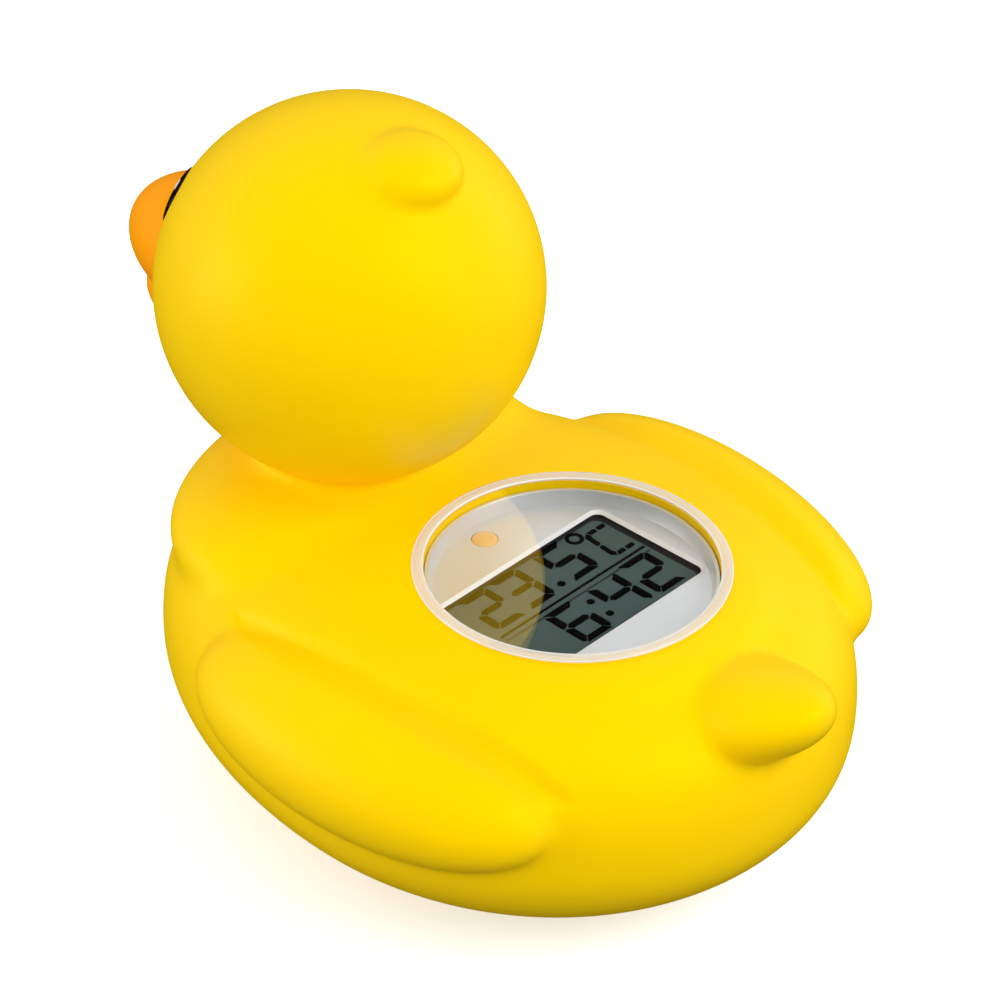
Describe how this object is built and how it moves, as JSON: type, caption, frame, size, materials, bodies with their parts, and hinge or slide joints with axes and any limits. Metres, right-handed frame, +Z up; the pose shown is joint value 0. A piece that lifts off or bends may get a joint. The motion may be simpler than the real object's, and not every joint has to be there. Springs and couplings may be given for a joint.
{
  "type": "duck bath thermometer",
  "caption": "Hollow moulded duck with a round digital display in its back, a battery bay, setting buttons and a metal probe in its flat base.",
  "frame": {"origin": "on the surface it stands on, under the middle of its length and width", "axes": "+Z up, the duck faces -Y, +X is its left side"},
  "size_m": [0.0866, 0.1145, 0.087],
  "materials": {
    "skin": "satin soft plastic, bright yellow",
    "beak": "satin soft plastic, orange",
    "eye": "glossy near-black",
    "clear": "clear polished plastic",
    "plate": "silver-grey painted plastic",
    "foam": "black foam",
    "seal": "translucent white rubber",
    "panel": "dark grey-green liquid crystal glass",
    "lamp": "diffuse amber lamp lens",
    "strip": "layered conductive rubber",
    "board": "green coated board",
    "black_plastic": "black resin",
    "white_plastic": "plain white moulding",
    "steel": "plain stainless steel",
    "silicone": "soft orange silicone",
    "red_lead": "red insulation",
    "white_lead": "white insulation"
  },
  "bodies": {
    "duck": {"body_shell": "skin", "beak": "beak", "eye_left": "eye", "eye_right": "eye", "lens": "clear", "lens_seal": "seal", "display_plate": "plate", "panel_gasket": "foam", "lcd_panel": "panel", "contact_strip_front": "strip", "contact_strip_rear": "strip", "main_board": "board", "indicator_lamp": "lamp", "chip_blob": "black_plastic", "clock_crystal": "steel", "display_tray": "white_plastic", "tray_screw_1": "steel", "tray_screw_2": "steel", "tray_screw_3": "steel", "board_screw_1": "steel", "board_screw_2": "steel", "board_screw_3": "steel", "base_plate": "skin", "base_seal": "seal", "battery_door": "skin", "door_seal": "silicone", "door_screw_1": "steel", "door_screw_2": "steel", "coin_cell": "steel", "cell_contact_minus": "steel", "cell_contact_plus": "steel", "probe_cap": "steel", "temperature_sensor": "black_plastic", "key_board": "board", "key_screw_1": "steel", "key_screw_2": "steel", "mode_switch": "black_plastic", "set_switch": "black_plastic", "lead_plus": "red_lead", "lead_minus": "black_plastic", "sensor_lead_a": "white_lead", "sensor_lead_b": "white_lead"},
    "mode_key": {"mode_button": "silicone"},
    "set_key": {"set_button": "silicone"}
  },
  "joints": [
    {"name": "mode_press", "type": "slide", "parent": "duck", "child": "mode_key", "axis": [0, 0, 1], "range_m": [0, 0.0005], "stiffness_N_per_m": 800, "springref_m": -0.0003},
    {"name": "set_press", "type": "slide", "parent": "duck", "child": "set_key", "axis": [0, 0, 1], "range_m": [0, 0.0005], "stiffness_N_per_m": 800, "springref_m": -0.0003}
  ]
}
